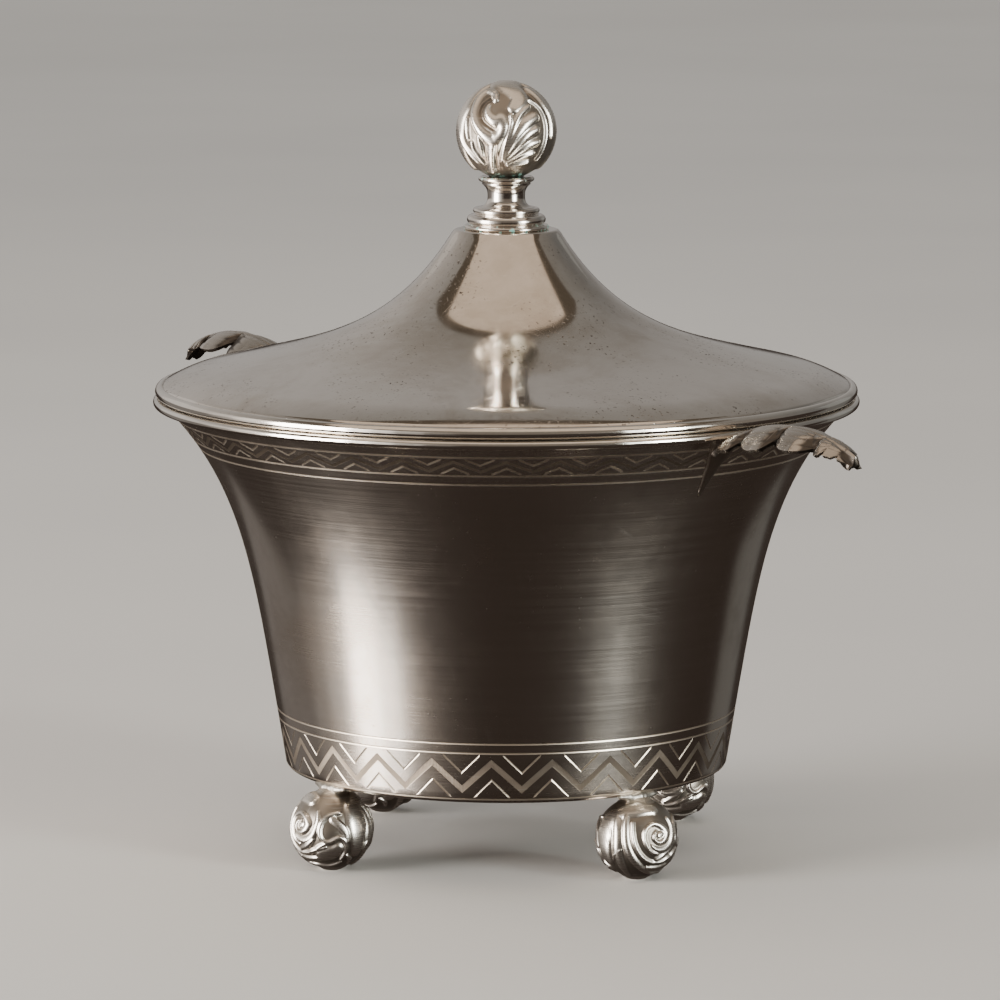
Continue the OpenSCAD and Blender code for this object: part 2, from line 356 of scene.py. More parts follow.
def engraved_band(top, bottom, first_angle, repeats, columns, hatches):
    """One engraved band round the wall: points, outward directions, faces and kinds."""
    half_angle = 180 / repeats
    middle_r = wall_radius((top + bottom) / 2)
    width = middle_r * math.radians(half_angle)
    cell, triangles = engraved_half(width, top - bottom, columns, hatches)
    points, normals, faces, kinds = [], [], [], []
    for repeat in range(repeats):
        for mirrored in (False, True):
            base = len(points)
            for x, y, depth in cell:
                share = 2 - x / width if mirrored else x / width
                angle = first_angle + half_angle * (2 * repeat + share)
                point, normal = on_wall(angle, top - y, depth)
                points.append(point)
                normals.append(normal)
            for t in triangles:
                order = t if mirrored else t[::-1]
                faces.append([base + i for i in order])
                deepest = max(cell[i][2] for i in t)
                kinds.append(CUT if deepest > HATCH_DEPTH else HATCHED if deepest > 0 else BODY)
    return points, normals, faces, kinds


def wall_rows():
    """Heights and depths of the plain rows of the wall, split by the two engraved bands."""
    foot, under_low, over_low = LOW_RINGS
    under_high, over_high, lip = HIGH_RINGS
    w = GROOVE_HALF

    def ring(z):
        return [(z - w, 0), (z, GROOVE_DEPTH), (z + w, 0)]

    corner = [(CORNER_Z - CORNER * math.cos(math.radians(a)), 0) for a in range(0, 55, 6)]
    low = [p for p in corner if p[0] < foot - w - 0.05] + ring(foot)
    between = [(z, 0) for z in np.linspace(over_low + w, under_high - w, 44)[1:-1]]
    middle = ring(under_low) + ring(over_low) + between + ring(under_high) + ring(over_high)
    high = ring(lip) + [(z, 0) for z in np.linspace(lip + w, RIM_Z - LIP_EDGE, 7)[1:]]
    return low, middle, high


class Skin:
    """A mesh in the making: points with their outward directions, and faces with their kinds."""

    def __init__(self):
        self.points, self.normals, self.faces, self.kinds = [], [], [], []

    def add(self, points, normals, faces, kinds):
        base = len(self.points)
        self.points += points
        self.normals += normals
        self.faces += [[v + base for v in f] for f in faces]
        self.kinds += kinds

    def ring(self, place):
        """Adds a ring. Place gives a point and its direction for an angle in degrees."""
        base = len(self.points)
        for k in range(COLUMNS):
            point, normal = place(STEP * k)
            self.points.append(point)
            self.normals.append(normal)
        return list(range(base, base + COLUMNS))

    def flat_ring(self, r, z, up, offset=0.0):
        """Adds a ring on a level face that looks up (1) or down (-1)."""

        def place(angle):
            a = math.radians(offset + angle)
            return (r * math.cos(a), r * math.sin(a), z), (0, 0, up)

        return self.ring(place)

    def join(self, rings, kinds):
        """Adds the faces between rings, with a kind for each gap."""
        for low, high, kind in zip(rings, rings[1:], kinds):
            for k in range(COLUMNS):
                n = (k + 1) % COLUMNS
                self.faces.append([low[k], low[n], high[n], high[k]])
                self.kinds.append(kind)

    def close(self, ring, z, up, kind):
        """Closes a ring with a fan round a point on the axis."""
        self.points.append((0, 0, z))
        self.normals.append((0, 0, up))
        for k in range(COLUMNS):
            pair = [ring[k], ring[(k + 1) % COLUMNS]]
            self.faces.append([len(self.points) - 1] + (pair if up > 0 else pair[::-1]))
            self.kinds.append(kind)


def outside(skin):
    """The plain rows of the wall, and the underside."""
    for rows in wall_rows():
        rings = []
        for z, depth in rows:
            share = np.clip((z - LOW_RINGS[2]) / (HIGH_RINGS[0] - LOW_RINGS[2]), 0, 1)
            offset = LOW_OFFSET * (1 - share)
            rings.append(skin.ring(lambda angle: on_wall(offset + angle, z, depth)))
        skin.join(rings, [CUT if a > 0 or b > 0 else BODY for (_, a), (_, b) in zip(rows, rows[1:])])
    under = [skin.flat_ring(r, BASE_Z, -1, LOW_OFFSET) for r in (0.4, 6, 12, 18, 24, 30, 36, CORNER_X)]
    skin.join(under, [BODY] * len(under))
    skin.close(under[0], BASE_Z, -1, BODY)


def inside(skin):
    """The inside, which follows the outside at the sheet's thickness, and the lip."""
    heights = list(np.linspace(RIM_Z - LIP_FLAT, CORNER_Z, 46))
    heights += [CORNER_Z - CORNER * math.sin(math.radians(a)) for a in (20, 40, 60, 75)]

    def place(angle):
        point, normal = on_wall(angle, z, SHEET)
        return point, tuple(-c for c in normal)

    rings = [skin.flat_ring(LIP_R - inset, RIM_Z, 1) for inset in (LIP_EDGE, LIP_FLAT)]
    for z in heights:
        rings.append(skin.ring(place))
    floor_z = BASE_Z + SHEET
    rings += [skin.flat_ring(r, floor_z, 1) for r in (CORNER_X, 34, 26, 18, 10, 4, 0.4)]
    skin.join(rings, [INSIDE] * len(rings))
    skin.close(rings[-1], floor_z, 1, INSIDE)
    lip = skin.ring(lambda angle: on_wall(angle, RIM_Z - LIP_EDGE))
    skin.join([lip, rings[0]], [BODY])


def engraved_bowl(silver, cut_silver, inner_silver, hatched_silver):
    """The bowl in one mesh: underside, engraved wall, lip and inside."""
    skin = Skin()
    outside(skin)
    inside(skin)
    skin.add(*engraved_band(LOW_RINGS[1] - GROOVE_HALF, LOW_RINGS[0] + GROOVE_HALF, *LOW_BAND))
    skin.add(*engraved_band(HIGH_RINGS[2] - GROOVE_HALF, HIGH_RINGS[1] + GROOVE_HALF, *HIGH_BAND))

    # Points that lie on each other are joined, and each corner keeps its own direction
    points, normals = np.array(skin.points), np.array(skin.normals)
    keys = np.round(points * 1000 + 0.37).astype(np.int64)
    _, first, where = np.unique(keys, axis=0, return_index=True, return_inverse=True)
    where = where.reshape(-1)
    clean, clean_normals, clean_kinds = [], [], []
    for face, kind in zip(skin.faces, skin.kinds):
        ids = [int(where[v]) for v in face]
        if len(set(ids)) < len(ids):
            continue
        clean.append(ids)
        clean_kinds.append(kind)
        if kind in (CUT, HATCHED):
            a, b, c = (points[v] for v in face[:3])
            flat = np.cross(b - a, c - a)
            flat /= np.linalg.norm(flat) or 1
            clean_normals += [0.7 * flat + 0.3 * normals[v] for v in face]
        else:
            clean_normals += [normals[v] for v in face]
    obj = new_object("engraved_bowl", points[first], clean, "bowl", ["bowl_shell"])
    dress(obj, silver, cut_silver, inner_silver, hatched_silver)
    obj.data.polygons.foreach_set("material_index", clean_kinds)
    obj.data.normals_split_custom_set([Vector(n).normalized() for n in clean_normals])


# Lid, mouldings and turned parts


def lid_height(r):
    """The height of the lid's outer surface at a radius."""
    t = max(0, (LID_EDGE_R - r) / (LID_EDGE_R - LID_NECK_R))
    s = max(0, (r - SHOULDER_R) / (LID_EDGE_R - SHOULDER_R))
    sweep = CONE_SHARE * t + (1 - CONE_SHARE) * t**SWEEP_POWER
    return LID_EDGE_Z + SHOULDER_DROP * (1 - s * s) + LID_RISE * sweep


def lid_outline():
    """The lid's outside from the flat top to the edge."""
    outside = [(BORE_R, LID_TOP_Z), (5, LID_TOP_Z), (LID_FLAT_R, LID_TOP_Z)]
    for i in range(1, 7):
        a = math.radians(90 - 55 * i / 6)
        outside.append((LID_FLAT_R + 0.9 * math.cos(a), LID_TOP_Z - 0.9 + 0.9 * math.sin(a)))
    for i in range(1, 91):
        r = LID_NECK_R + (LID_EDGE_R - LID_NECK_R) * (i / 90) ** 1.25
        outside.append((r, lid_height(r)))
    return outside


def moved_in(outline, distance):
    """The outline moved to its right-hand side, seen along its direction."""
    path = np.array(outline, float)
    along = np.gradient(path, axis=0)
    along /= np.linalg.norm(along, axis=1)[:, None]
    return path + distance * np.stack([along[:, 1], -along[:, 0]], axis=1)


def polished_lid(silver, inner_silver):
    """The lid's sheet, its outside and its inside."""
    outside = lid_outline()
    inside = moved_in(outside, SHEET)
    inside[0][0] = outside[0][0]
    outline = outside + [tuple(p) for p in inside[::-1]]
    obj = turned("polished_lid", outline, 288, "lid", "lid_shell", "lid_silver", silver, inner_silver)
    for polygon in obj.data.polygons:
        x, y, z = polygon.center / MM
        r = math.hypot(x, y)
        surface = lid_height(r) if r > LID_NECK_R else LID_TOP_Z
        is_inside = z < surface - SHEET / 2 - 0.02 and r < LID_EDGE_R - 0.3
        polygon.material_index = 1 if is_inside else 0


def arc(centre, radius, start, end, steps):
    """Points of a circle in the (r, z) plane."""
    made = []
    for i in range(steps + 1):
        a = math.radians(start + (end - start) * i / steps)
        made.append((centre[0] + radius * math.cos(a), centre[1] + radius * math.sin(a)))
    return made


def rim_moulding(silver):
    """The half-round wire soldered round the bowl's lip, with its fine seam."""
    half = span("rim_wire")[1][2] / 2 - span("rim_wire")[0][2] / 2
    centre = (RIM_R - half, RIM_Z - half)
    low_r, high_r = wall_radius(RIM_Z - 2 * half), wall_radius(RIM_Z)
    outline = [(low_r - 0.35, RIM_Z - 2 * half + 0.12)]
    outline += arc(centre, half, -100, 82, 20)
    outline += [(high_r - 0.35, RIM_Z - 0.02)]
    turned("rim_moulding", outline, 240, "bowl", "rim_wire", "moulding_silver", silver)


def lid_moulding(silver):
    """The wire round the lid's edge with the flat seat under it."""
    half = LID_WIRE_H / 2
    centre = (LID_R - half, LID_WIRE_LOW + half)
    seat_in = span("rim_wire")[1][0] - 2.9
    outline = filleted([
        (seat_in, LID_WIRE_LOW, 0),
        (seat_in + 0.01, LID_WIRE_LOW, 0),
        (LID_R - half, LID_WIRE_LOW, 0),
    ])
    outline += arc(centre, half, -86, 96, 22)
    outline += [(LID_EDGE_R - 0.25, LID_EDGE_Z - 0.05), (LID_EDGE_R - 0.9, LID_EDGE_Z - 0.35)]
    outline += [(seat_in, LID_WIRE_LOW + 0.9)]
    turned("lid_moulding", outline, 240, "lid", "lid_edge_wire", "moulding_silver", silver)


def centring_ring(silver):
    """The ring under the lid that keeps it in place on the bowl."""
    low, high = span("lid_bezel")
    outer, thick = high[0], 0.8
    outline = filleted([
        (outer - thick, high[2], 0),
        (outer - thick, low[2], 0.35),
        (outer, low[2], 0.35),
        (outer, low[2] + 1.1, 0.05),
        (outer - 0.12, low[2] + 1.25, 0.05),
        (outer - 0.12, low[2] + 1.45, 0.05),
        (outer, low[2] + 1.6, 0.05),
        (outer, high[2] - 0.4, 0),
        (outer - 0.3, high[2], 0),
    ])
    turned("centring_ring", outline, 240, "lid", "lid_bezel", "inner_silver", silver)


def finial_plate(silver):
    """The stepped and beaded plate between the lid and the stem."""
    low, high = span("finial_base")
    r, z = high[0], low[2]
    outline = [(BORE_R, z), (r - 0.45, z)] + arc((r - 0.45, z + 0.45), 0.45, -80, 80, 8)
    outline += [(r - 0.95, z + 0.93), (r - 1.15, z + 0.86), (r - 1.2, z + 1.0)]
    outline += arc((r - 1.6, z + 1.9), 0.98, -52, 70, 12)
    outline += [(r - 1.55, high[2] - 0.22), (r - 1.85, high[2] - 0.2), (r - 1.9, high[2]), (BORE_R, high[2])]
    turned("finial_plate", outline, 144, "lid", "finial_base", "turned_silver", silver)


def finial_neck(silver):
    """The turned stem: a collar, a hollow flare, a waist and a cup under the ball."""
    low, high = span("finial_stem")
    r, z, top = high[0], low[2], high[2]
    neck = 3.65
    outline = [(BORE_R, z), (r - 0.55, z)] + arc((r - 0.55, z + 0.55), 0.55, -80, 85, 10)
    outline += [(r - 0.75, z + 1.05), (r - 0.95, z + 1.0), (r - 1.05, z + 1.15)]
    for i in range(13):
        a = math.radians(90 * i / 12)
        outline.append((r - 1.15 - (r - 1.15 - neck) * math.sin(a), z + 1.2 + 1.9 * (1 - math.cos(a))))
    for i in range(1, 11):
        t = i / 10
        outline.append((neck + 1.1 * t**3.2, z + 3.1 + (top - 1.5 - z - 3.1) * t))
    collar = high[0] - 1.55
    outline += [(collar - 0.3, top - 1.3), (collar - 0.08, top - 1.0)]
    outline += arc((collar, top - 0.5), 0.5, -70, 80, 8)
    outline += [(collar - 0.4, top - 0.02), (BORE_R, top)]
    turned("finial_neck", outline, 144, "lid", "finial_stem", "turned_silver", silver)


def bevelled_washer(silver):
    """The washer under the lid's flat top."""
    low, high = span("finial_washer")
    bore = BORE_R + 0.05
    outline = filleted([
        (bore, low[2], 0.2),
        (high[0], low[2], 0.22),
        (high[0], high[2], 0.15),
        (bore, high[2], 0),
    ])
    outline[0] = np.array([bore, low[2] + 0.1])
    turned("bevelled_washer", outline, 96, "lid", "finial_washer", "inner_silver", silver)


def threaded_stud(brass):
    """The stud through the finial, with a real helical thread."""
    low, high = span("finial_stud")
    radius, pitch, depth, columns = high[0], 0.7, 0.3, 36
    rows = int((high[2] - low[2]) / pitch * 6)
    points = []
    for i in range(rows + 1):
        z = low[2] + (high[2] - low[2]) * i / rows
        end = min(1, (z - low[2]) / 0.5, (high[2] - z) / 0.5)
        for k in range(columns):
            phase = ((z - low[2]) / pitch - k / columns) % 1
            r = radius - depth * (1 - abs(2 * phase - 1)) - 0.35 * (1 - end)
            a = 2 * math.pi * k / columns
            points.append((r * math.cos(a), r * math.sin(a), z))
    faces = tube_faces(rows + 1, columns)
    points += [(0, 0, low[2]), (0, 0, high[2])]
    for k in range(columns):
        n = (k + 1) % columns
        faces.append([len(points) - 2, n, k])
        faces.append([len(points) - 1, rows * columns + k, rows * columns + n])
    obj = new_object("threaded_stud", points, faces, "lid", ["finial_stud"])
    obj.data.set_sharp_from_angle(angle=math.radians(35))
    dress(obj, brass)


def chamfered_nut(brass):
    """The hexagon nut, its corners rounded off by a cone as on a turned nut."""
    low, high = span("finial_nut")
    apothem, per_side = high[1], 10
    columns = 6 * per_side
    bottom, top = low[2], high[2]
    corner = apothem / math.cos(math.pi / 6)
    rows = [(bottom + 0.1, BORE_R), (bottom, 2.4), (bottom, apothem - 0.1)]
    for i in range(5):
        rows.append((bottom + 0.11 * i, corner - 0.62 + 0.155 * i))
    rows += [(top - 0.11 * i, corner - 0.62 + 0.155 * i) for i in range(4, -1, -1)]
    rows += [(top, apothem - 0.1), (top, 2.4), (top - 0.1, BORE_R)]
    points = []
    for z, limit in rows:
        for k in range(columns):
            a = 2 * math.pi * k / columns
            side = a % (math.pi / 3) - math.pi / 6
            r = min(limit, apothem / math.cos(side))
            points.append((r * math.cos(a), r * math.sin(a), z))
    faces = tube_faces(len(rows), columns, closed=True)
    obj = new_object("chamfered_nut", points, faces, "lid", ["finial_nut"])
    weld(obj)
    obj.data.set_sharp_from_angle(angle=math.radians(25))
    dress(obj, brass)


# Chased balls. A stroke is drawn as seen on the ball, in millimetres right and up of its centre.


def seen_on_ball(path, radius):
    """Directions from the ball's centre of points drawn as seen from the camera's height."""
    path = np.array(path, float) / radius
    depth = np.sqrt(np.clip(1 - (path**2).sum(axis=1), 0.0004, 1))
    rise = CAMERA_RISE
    right = np.array([1, 0, 0])
    up = np.array([0, math.sin(rise), math.cos(rise)])
    back = np.array([0, -math.cos(rise), math.sin(rise)])
    made = path[:, :1] * right + path[:, 1:2] * up + depth[:, None] * back
    return made / np.linalg.norm(made, axis=1)[:, None]


def smooth_path(path, steps=7):
    """A Catmull-Rom curve through the points."""
    p = np.vstack([2 * path[0] - path[1], path, 2 * path[-1] - path[-2]])
    made = []
    for i in range(1, len(p) - 2):
        for k in range(steps):
            t = k / steps
            a, b, c, d = p[i - 1], p[i], p[i + 1], p[i + 2]
            made.append(0.5 * (2 * b + (c - a) * t + (2 * a - 5 * b + 4 * c - d) * t**2
                               + (3 * b - a - 3 * c + d) * t**3))
    made.append(p[-2])
    return np.array(made)


def nearest_on(directions, path, radius):
    """For each direction, its distance in millimetres from a path and how far along it lies, from 0 to 1."""
    best = np.full(len(directions), 1e9)
    share = np.zeros(len(directions))
    lengths = np.linalg.norm(np.diff(path, axis=0), axis=1)
    ends = np.concatenate([[0], np.cumsum(lengths)])
    for i in range(len(path) - 1):
        a, b = path[i], path[i + 1]
        ab = b - a
        t = np.clip((directions - a) @ ab / max(ab @ ab, 1e-12), 0, 1)
        d = np.linalg.norm(directions - a - t[:, None] * ab, axis=1) * radius
        closer = d < best
        best = np.where(closer, d, best)
        share = np.where(closer, (ends[i] + t * lengths[i]) / ends[-1], share)
    return best, share


# The three kinds of stroke in the order they are worked
SWELL, RAISED, GROOVE = range(3)


def swell(path, widths, height=1.0):
    """A broad flat-topped form: its middle line, half-widths along it, and its height against the depth."""
    return {"kind": SWELL, "path": path, "widths": widths, "height": height, "comb": 0, "shift": 0}


def raised(path, widths, height=1.0, comb=0):
    """A round-topped form. A comb number cuts it into that many fine flutes."""
    return dict(swell(path, widths, height), kind=RAISED, comb=comb)


def groove(path, widths, height=1.0):
    """A groove, cut last into what lies there."""
    return dict(swell(path, widths, height), kind=GROOVE)


FINIAL_STROKES = [
    # the smooth crown and the smooth bands that run down the right side
    swell([(-1.2, 9.3), (1.6, 7.9), (2.6, 5.9), (1.6, 4.2)], [2.4, 2.6, 2.2, 1.4]),
    swell([(4.6, 8.2), (7.2, 5.8), (8.9, 2.6), (9.2, -1.2)], [1.3, 1.2, 0.9, 0.8]),
    groove([(1.4, 9.2), (4.4, 7.3), (6.4, 5.3), (7.6, 3.2)], [0.15, 0.3, 0.3, 0.15], 0.5),
    # the large C scroll, its curl and its trunk
    raised([(-2.1, 6.9), (-2.1, 5.9)], [0.8, 0.75], 1.1),
    raised([(-2.4, 7.4), (-3.6, 7.9), (-5.3, 6.8), (-6.4, 4.7), (-6.7, 2.5), (-6.0, 0.3), (-4.6, -1.4),
           (-2.9, -2.7)], [0.9, 1.0, 1.0, 0.95, 0.95, 1.0, 1.15, 1.5], 1.1),
    raised([(-2.2, -2.2), (-2.8, -4.4), (-3.0, -6.2), (-2.8, -8.4)], [1.6, 1.25, 1.1, 1.0]),
    groove([(-2.1, -3.4), (-2.2, -5.6), (-2.0, -8.0)], [0.25, 0.45, 0.3], 0.5),
    # the comma inside the scroll
    raised([(-3.4, 4.9), (-3.9, 3.6), (-3.5, 2.3), (-2.4, 1.5), (-1.4, 1.7)], [0.35, 0.7, 1.0, 1.3, 1.55],
           1.15),
    raised([(-1.2, 1.6), (-0.55, 0.2), (-1.1, -1.4), (-2.2, -2.4)], [1.5, 1.25, 1.3, 1.5], 1.08),
    groove([(-3.0, 6.3), (-4.7, 5.0), (-5.3, 3.2), (-4.8, 1.6), (-3.6, 0.5), (-2.6, -0.2)], [0.5, 0.55,
           0.5, 0.5, 0.45, 0.2], 0.8),
    # the oval on the left, the rings round it and a small leaf
    raised([(-7.9, 2.3), (-8.1, 0.4), (-7.7, -1.9)], [0.6, 0.95, 0.5], 1.1),
    raised([(-8.8, 2.6), (-9.3, 0.2), (-8.8, -2.6), (-7.4, -4.8), (-5.6, -6.6)], [0.3, 0.45, 0.55, 0.55,
           0.4]),
    raised([(-7.0, -2.6), (-6.6, -4.2), (-5.6, -5.6), (-4.4, -7.0)], [0.4, 0.6, 0.7, 0.4]),
    raised([(-5.7, -1.6), (-5.2, -3.6), (-4.7, -5.4)], [0.4, 0.75, 0.4]),
    # the leaf fan and the slim leaf beside it
    raised([(1.0, 2.6), (1.0, 1.0), (0.5, -1.2), (-0.3, -3.6), (-1.0, -6.4)], [0.5, 0.62, 0.6, 0.5,
           0.35]),
    raised([(-0.9, -6.2), (1.0, -1.6), (1.9, 1.0), (2.9, 3.1), (4.6, 4.6)], [0.3, 0.5, 0.65, 0.85, 0.5]),
    raised([(-0.6, -6.2), (1.2, -3.1), (2.6, -0.8), (4.2, 1.1), (5.9, 2.4)], [0.3, 0.8, 1.2, 1.45, 1.2],
           1.12),
    raised([(-0.4, -6.4), (1.6, -4.3), (3.2, -2.5), (4.7, -1.1), (6.1, -0.2)], [0.3, 0.75, 1.05, 1.25,
           1.05], 1.1),
    raised([(-0.2, -6.6), (1.9, -5.3), (3.5, -4.2), (4.9, -3.3), (6.3, -2.7)], [0.3, 0.7, 1.0, 1.15, 0.9],
           1.06),
    raised([(0.0, -7.0), (2.0, -6.2), (3.6, -5.5), (5.2, -5.0)], [0.3, 0.55, 0.85, 0.8], 1.02),
    raised([(0.2, -7.4), (2.2, -7.1), (4.2, -6.7)], [0.3, 0.5, 0.65], 0.98),
    # the line that closes the fan
    raised([(3.2, 6.0), (5.0, 5.6), (6.9, 4.0), (7.9, 1.6), (8.1, -1.2), (7.4, -4.0), (6.0, -6.2)], [0.3,
           0.45, 0.5, 0.5, 0.5, 0.5, 0.35]),
]

VOLUTE_STROKES = [
    # the smooth shoulder over the flutes and the smooth part under the scroll
    swell([(-3.6, 5.0), (-0.5, 5.8), (3.0, 5.8)], [1.6, 2.0, 1.4], 0.98),
    swell([(2.4, -6.2), (4.6, -6.0), (6.4, -4.9)], [0.8, 0.9, 0.6], 0.9),
    # two broad flutes that turn down the left side
    raised([(-3.9, 4.8), (-4.1, 0.8), (-4.0, -2.8), (-3.0, -5.6), (-1.6, -7.6)], [0.9, 1.15, 1.2, 1.0,
           0.5], 1.08),
    raised([(-2.2, 4.4), (-2.4, 1.2), (-2.2, -1.2), (-1.2, -3.7), (0.8, -6.0), (3.0, -7.3)], [0.75, 0.85,
           0.9, 0.9, 0.75, 0.4], 1.05),
    # the thin raised line round the scroll
    raised([(-0.95, 3.2), (-0.95, 1.4), (-0.6, -0.8), (0.4, -2.9), (1.8, -4.3), (3.4, -4.85), (5.0, -4.6),
           (6.3, -3.8), (7.6, -2.7)], [0.5, 0.52, 0.5, 0.46, 0.44, 0.44, 0.44, 0.4, 0.25], 1.15),
    # the scroll: a line that winds in and swells into a bulb
    raised([(4.3, -3.2), (2.9, -2.7), (1.9, -1.4), (1.4, 0.4), (1.8, 1.9), (3.1, 2.85), (4.4, 2.65),
           (5.3, 2.0), (5.95, 1.1)], [0.25, 0.38, 0.4, 0.42, 0.44, 0.5, 0.62, 0.85, 1.0], 1.15),
    raised([(5.9, 1.2), (5.7, 0.2), (4.9, -0.7), (4.0, -0.7), (3.35, 0.1), (3.5, 1.1), (3.9, 1.5)], [1.0,
           0.95, 0.7, 0.46, 0.36, 0.28, 0.15], 1.12),
    swell([(4.4, 0.6), (4.9, 0.9)], [0.7, 0.6], 0.75),
    # the comb of fine flutes that runs round the scroll
    raised([(2.9, -1.5), (4.2, -2.35), (5.6, -2.2), (6.7, -1.1), (7.1, 0.6), (6.9, 2.4), (6.0, 4.0)],
           [0.35, 0.75, 0.85, 0.85, 0.85, 0.75, 0.4], 1.0, 24),
    # the leaf with a toothed edge
    swell([(-7.6, 3.2), (-7.9, 0.6), (-7.7, -1.6)], [0.8, 0.9, 0.6], 0.9),
    raised([(-5.9, 3.4), (-5.4, 2.2), (-5.1, 0.6)], [0.3, 0.62, 0.3], 1.02),
    raised([(-6.6, 1.8), (-6.0, 0.4), (-5.5, -1.2)], [0.35, 0.66, 0.3], 1.02),
    raised([(-7.1, -0.2), (-6.5, -1.6), (-5.8, -3.2)], [0.35, 0.66, 0.3], 1.02),
    raised([(-7.0, -2.6), (-6.3, -3.8), (-5.3, -5.2)], [0.35, 0.62, 0.3]),
    raised([(-6.4, -4.8), (-5.3, -5.8), (-4.2, -6.8)], [0.35, 0.55, 0.3], 0.98),
]

WAVE_STROKES = [
    # broad smooth swells round the wave
    swell([(4.7, 3.8), (5.3, 0.8), (5.4, -2.0), (5.0, -4.6)], [2.4, 2.7, 2.1, 1.4]),
    swell([(-1.6, -5.2), (0.4, -4.7), (1.5, -3.9)], [1.7, 1.8, 1.2], 0.9),
    # the wave
    raised([(1.8, 3.3), (0.3, 3.0), (-1.0, 2.4), (-1.95, 1.2), (-2.3, -0.3), (-2.05, -1.6), (-1.3, -2.35),
           (-0.3, -2.5), (0.8, -2.0), (1.6, -1.6), (2.4, -1.85), (2.95, -2.8), (2.8, -4.6), (1.8, -6.2)],
           [0.4, 0.5, 0.56, 0.58, 0.58, 0.52, 0.46, 0.44, 0.44, 0.46, 0.46, 0.46, 0.42, 0.25], 1.15),
    raised([(-4.0, -4.9), (-2.4, -3.5), (-0.8, -2.75)], [0.3, 0.46, 0.4], 1.1),
    raised([(-6.0, -5.3), (-4.6, -6.6), (-2.8, -7.1), (-0.4, -7.4), (1.9, -6.6)], [0.3, 0.44, 0.44, 0.4,
           0.3], 1.08),
    raised([(-3.6, -2.0), (-4.8, -3.2), (-6.0, -4.0)], [0.4, 0.95, 0.5]),
    raised([(7.7, -1.6), (6.9, -2.8), (6.2, -4.2)], [0.3, 0.4, 0.25], 1.1),
]
# The wave's place round a foot from the volute's, and how often each ball repeats its chasing
WAVE_SHIFT = 84
CHASING_REPEATS = 2
FINIAL_CHASED = 0.6
FOOT_CHASED = 0.5
PLAIN_SIDE_SHIFT = 98


def ball_relief(directions, radius, strokes, depth):
    """How far each direction's point lies below the ball's full radius."""
    level = np.full(len(directions), -depth)
    for form in sorted(strokes, key=lambda s: s["kind"]):
        drawn = rotated(seen_on_ball(form["path"], radius), form["shift"])
        path = smooth_path(drawn)
        path /= np.linalg.norm(path, axis=1)[:, None]
        middle = path.mean(axis=0)
        middle /= np.linalg.norm(middle)
        reach = np.arccos(np.clip(path @ middle, -1, 1)).max() + (max(form["widths"]) + 0.3) / radius
        for k in range(CHASING_REPEATS):
            turned_back = rotated(directions, -360 * k / CHASING_REPEATS)
            near = np.flatnonzero(turned_back @ middle > math.cos(min(reach, math.pi)))
            distance, share = nearest_on(turned_back[near], path, radius)
            widths = np.interp(share, np.linspace(0, 1, len(form["widths"])), form["widths"])
            x = np.clip(distance / widths, 0, 1)
            inside = distance < widths
            if form["kind"] == GROOVE:
                level[near] -= np.where(inside, depth * form["height"] * (1 - x * x) ** 1.2, 0)
                continue
            crown = 1 - x * x if form["kind"] == RAISED else 1 - x**4
            if form["comb"]:
                crown = crown * (0.9 + 0.1 * np.cos(2 * math.pi * form["comb"] * share))
            top = -depth + depth * form["height"] * 0.87 * crown
            level[near] = np.where(inside, np.maximum(level[near], top), level[near])
    # Worn smooth round the poles
    off_pole = radius * np.arccos(np.abs(directions[:, 2]))
    return np.minimum(level, 0) * np.clip((off_pole - 1.8) / 2, 0, 1)


def softened(level, faces, passes):
    """The relief with each point eased towards its neighbours."""
    corners = np.array(faces)
    for _ in range(passes):
        total, count = np.zeros(len(level)), np.zeros(len(level))
        for a, b in ((0, 1), (1, 2), (2, 0)):
            np.add.at(total, corners[:, a], level[corners[:, b]])
            np.add.at(count, corners[:, a], 1)
        level = 0.5 * level + 0.5 * total / count
    return level


def with_shift(strokes, shift):
    """The same strokes turned about the ball's vertical axis."""
    return [dict(form, shift=shift) for form in strokes]


def chased_sphere(radius, strokes, depth):
    """Points and faces of a chased ball at the origin, and each point's place in the relief from 0 to 1."""
    work = bmesh.new()
    bmesh.ops.create_icosphere(work, subdivisions=7, radius=1)
    directions = np.array([tuple(v.co.normalized()) for v in work.verts])
    faces = [[v.index for v in f.verts] for f in work.faces]
    work.free()
    level = softened(ball_relief(directions, radius, strokes, depth), faces, 2)
    return directions * (radius + level)[:, None], faces, 1 + level / (1.6 * depth)


def set_relief(obj, values):
    """Stores the relief on the mesh for the material to read."""
    layer = obj.data.attributes.new("relief", "FLOAT", "POINT")
    layer.data.foreach_set("value", np.asarray(values, np.float32))


def chased_finial(silver):
    """The chased ball on the lid."""
    plain_side = [swell([(0, 8.6), (0.4, 3.0), (0.4, -3.0), (0, -8.0)], [1.2, 2.8, 2.8, 1.4])]
    strokes = FINIAL_STROKES + with_shift(plain_side, PLAIN_SIDE_SHIFT)
    points, faces, relief = chased_sphere(BALL_R, strokes, FINIAL_CHASED)
    points = rotated(points, math.degrees(CAMERA_TURN)) + np.array([0, 0, BALL_TOP_Z - BALL_R])
    obj = new_object("chased_finial", points, faces, "lid", ["finial_ball"])
    set_relief(obj, relief)
    dress(obj, silver)


